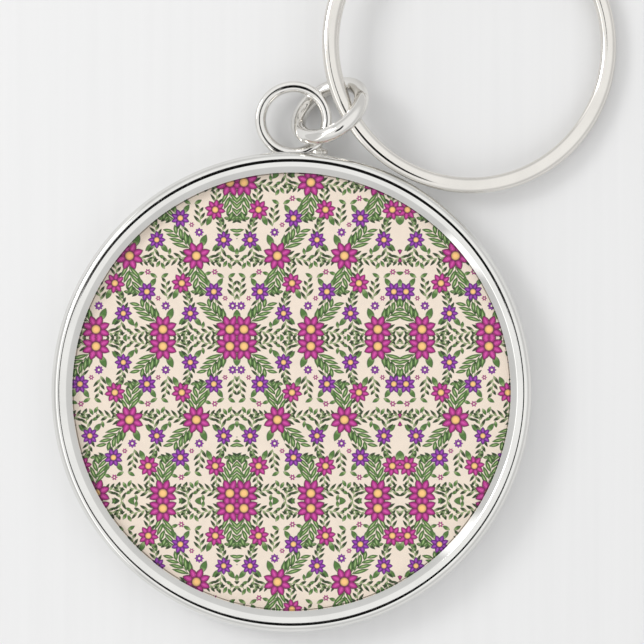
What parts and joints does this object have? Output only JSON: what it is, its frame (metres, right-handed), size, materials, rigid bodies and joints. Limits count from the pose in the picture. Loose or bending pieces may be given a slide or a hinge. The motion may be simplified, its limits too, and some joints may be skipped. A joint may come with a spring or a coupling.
{
  "type": "round print keychain",
  "caption": "Round metal pendant with a printed face under a clear cover, a wire loop, a jump ring and a split key ring.",
  "frame": {"origin": "centre of the pendant's flat back face, on the table that it lies on", "axes": "+Z out of the printed face, +Y from the pendant's centre towards the hanging loop, +X to the right"},
  "size_m": [0.0602, 0.078, 0.0076],
  "materials": {
    "plated_dish": "polished bright plating over cast zinc",
    "plated_wire": "polished bright plating over steel wire",
    "key_wire": "polished plating over spring steel",
    "solder": "satin, slightly lumpy",
    "adhesive": "matte",
    "print": "satin print on a thin white sheet",
    "clear_film": "clear, smooth"
  },
  "bodies": {
    "pendant": {"pendant_frame": "plated_dish", "hanging_loop": "plated_wire", "loop_solder": "solder", "adhesive_pad": "adhesive", "print_disc": "print", "clear_cover": "clear_film"},
    "jump_link": {"jump_ring": "plated_wire"},
    "split_ring": {"key_ring": "key_wire"}
  },
  "joints": [
    {"name": "jump_ring_swing", "type": "hinge", "parent": "pendant", "child": "jump_link", "pos_m": [0.00319, 0.02916, 0.00353], "axis": [0.1423, -0.9757, -0.1668], "range_deg": [0, 75]},
    {"name": "key_ring_swing", "type": "hinge", "parent": "jump_link", "child": "split_ring", "pos_m": [0.00563, 0.03029, 0.00415], "axis": [0.9356, -0.3285, 0.1294], "range_deg": [0, 45]}
  ]
}
